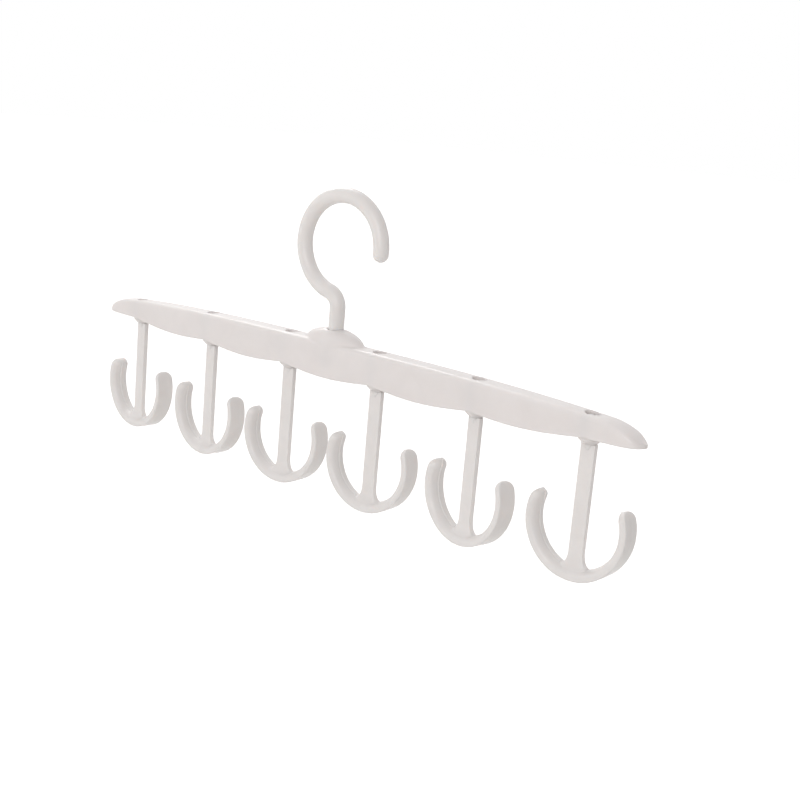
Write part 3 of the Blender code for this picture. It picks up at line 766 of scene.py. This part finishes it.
def capped_shell(rings):
    """A run of closed rings with a point in the middle of either end."""
    rows, columns = rings.shape[:2]
    points = np.concatenate([rings.reshape(-1, 3), rings[0].mean(0)[None], rings[-1].mean(0)[None]])
    first, last = np.arange(columns), (rows - 1) * columns + np.arange(columns)
    ends = [np.stack([np.roll(first, -1), first, np.full(columns, rows * columns)], -1),
            np.stack([last, np.roll(last, -1), np.full(columns, rows * columns + 1)], -1)]
    return points, [grid_faces(rows, columns, closed=True)] + ends


def round_rings(profile, sides=48):
    """Rings of (radius, height) points about the piece's own axis."""
    profile = np.array(profile)
    turn = np.linspace(0.0, math.tau, sides, endpoint=False)[None, :]
    x = profile[:, :1] * np.cos(turn)
    y = profile[:, :1] * np.sin(turn)
    return np.stack([x, y, profile[:, 1:] + 0.0 * x], -1)


def prong(profile, slot, side, steps=20):
    """Half of a split head: each level is a circle cut off at half the slot's width."""
    profile = np.array(profile)
    radius, height = profile[:, :1], profile[:, 1:]
    reach = np.arccos(np.clip(slot / 2 / radius, -1.0, 1.0))
    turn = reach * np.linspace(-1.0, 1.0, steps)[None, :]
    x, y = radius * np.cos(turn), radius * np.sin(turn)
    chord = np.linspace(1.0, -1.0, 6)[None, 1:-1]
    x = np.concatenate([x, slot / 2 + 0.0 * chord * radius], axis=1) * side
    y = np.concatenate([y, radius * np.sin(reach) * chord], axis=1)
    return capped_shell(np.stack([x, y, height + 0.0 * x], -1))


def split_snap(neck, head, slot):
    """A round neck and the two prongs of its split snap head."""
    return [capped_shell(round_rings(neck)), prong(head, slot, 1.0), prong(head, slot, -1.0)]


def placed(shells, turn_deg, place):
    """Shells turned about their upright axis and carried to their place."""
    turn = math.radians(turn_deg)
    spin = np.array([[math.cos(turn), -math.sin(turn), 0.0],
                     [math.sin(turn), math.cos(turn), 0.0],
                     [0.0, 0.0, 1.0]])
    return [(points @ spin.T + np.array(place), faces) for points, faces in shells]


SEAT = 7.9 * MM
HEAD_SLOT = 1.1 * MM
NECK = [(1.2, -2.9), (1.6, -1.5), (1.85, -0.7), (2.0, -0.1), (2.0, 5.4)]
HEAD = [(1.98, -3.3), (1.98, -0.15), (2.1, 0.0), (2.75, 0.0), (2.9, 0.15), (2.9, 0.7), (2.8, 0.95),
        (2.2, 2.95), (1.95, 3.2), (1.2, 3.2)]
hook_finish = moulded_plastic("satin_polypropylene_hooks", "#E7E3E1", "#E3DFDD", 0.36, 9.0, 0.35)
for number, (x, turn_deg) in enumerate(zip(BOSS_PLACES, REST_TURNS_DEG), start=1):
    place = (x, 0.0, boss_foot_z(x))
    body, node = "anchor_%d" % number, "anchor_hook_%d" % number
    make_piece("anchor_%d_arms" % number, placed(anchor_shell(), turn_deg, place), hook_finish, body,
               node)
    snap = split_snap(in_metres(NECK), in_metres(HEAD, SEAT), HEAD_SLOT)
    make_piece("anchor_%d_snap_neck" % number, placed(snap, turn_deg, place), hook_finish, body,
               node)

# The top hook: a round rod moulded as a question mark, a little glossier than the bar. Its lower
# end steps down to a neck and a split snap head that hold the bar's hub.
HOOK_TURN_DEG = 4.3
ROD = 3.6 * MM
ROD_SEAM = 0.05 * MM
ROD_SEAM_TURN = 0.05
RING = 22.1 * MM
RING_LEVEL = -18.5 * MM
RING_END = math.radians(-3.3)
LOWER_BEND = 7.2 * MM
SHANK_FOOT_Z = BAR_CREST_Z - 6.7 * MM
SHANK_SEAT_Z = BAR_CREST_Z - 11.3 * MM
SHANK_SLOT = 1.3 * MM
SHANK_NECK = [(3.3, -6.5), (3.3, -6.65), (2.6, -6.7), (2.6, -7.1)]
SHANK_HEAD = [(2.58, 5.0), (2.58, 0.1), (2.7, 0.0), (3.45, 0.0), (3.6, -0.15), (3.6, -0.8), (3.5, -1.05),
              (2.6, -3.15), (2.3, -3.4), (1.4, -3.4)]


def rod_rings(sides=72):
    """The rod's circles along a straight shank, a small bend and the ring's arc, with a round tip.

    Its centre line is two arcs that touch. A fine seam runs along both sides in the ring's plane.
    """
    drop = math.sqrt(RING ** 2 + 2.0 * RING * LOWER_BEND)
    meet = math.atan2(drop, LOWER_BEND)
    bend = np.linspace(0.0, meet, 25)
    arc = np.linspace(meet + math.pi, RING_END, 121)[1:]
    shank_z = np.linspace(SHANK_FOOT_Z, RING_LEVEL - drop, 12)[:-1]
    x = np.concatenate([0.0 * shank_z, LOWER_BEND * (np.cos(bend) - 1.0), RING * np.cos(arc)])
    z = np.concatenate([shank_z, RING_LEVEL - drop + LOWER_BEND * np.sin(bend),
                        RING_LEVEL + RING * np.sin(arc)])
    way_x = np.concatenate([0.0 * shank_z, -np.sin(bend), np.sin(arc)])
    way_z = np.concatenate([0.0 * shank_z + 1.0, np.cos(bend), -np.cos(arc)])
    close = np.radians(np.linspace(0.0, 88.0, 12))[1:]
    radius = np.concatenate([np.full_like(x, ROD), ROD * np.cos(close)])
    x = np.concatenate([x, x[-1] + way_x[-1] * ROD * np.sin(close)])
    z = np.concatenate([z, z[-1] + way_z[-1] * ROD * np.sin(close)])
    way_x = np.concatenate([way_x, np.full_like(close, way_x[-1])])[:, None]
    way_z = np.concatenate([way_z, np.full_like(close, way_z[-1])])[:, None]
    turn = np.linspace(0.0, math.tau, sides, endpoint=False)[None, :]
    seam = np.exp(-(np.sin(turn) / ROD_SEAM_TURN) ** 2) * ROD_SEAM
    reach = radius[:, None] * (1.0 + seam / ROD)
    side = reach * np.cos(turn)
    return np.stack([x[:, None] + way_z * side, reach * np.sin(turn), z[:, None] - way_x * side], -1)


top_finish = moulded_plastic("polished_polypropylene_top_hook", "#E8E4E2", "#E4E0DE", 0.30, 18.0, 0.7)
snap = split_snap(in_metres(SHANK_NECK, BAR_CREST_Z), in_metres(SHANK_HEAD, SHANK_SEAT_Z), SHANK_SLOT)
make_piece("top_hook_rod", placed([capped_shell(rod_rings())], HOOK_TURN_DEG, (0.0, 0.0, 0.0)), top_finish,
           "top_hook", "swivel_hook")
make_piece("top_hook_snap_neck", placed(snap, HOOK_TURN_DEG, (0.0, 0.0, 0.0)), top_finish, "top_hook",
           "swivel_hook")
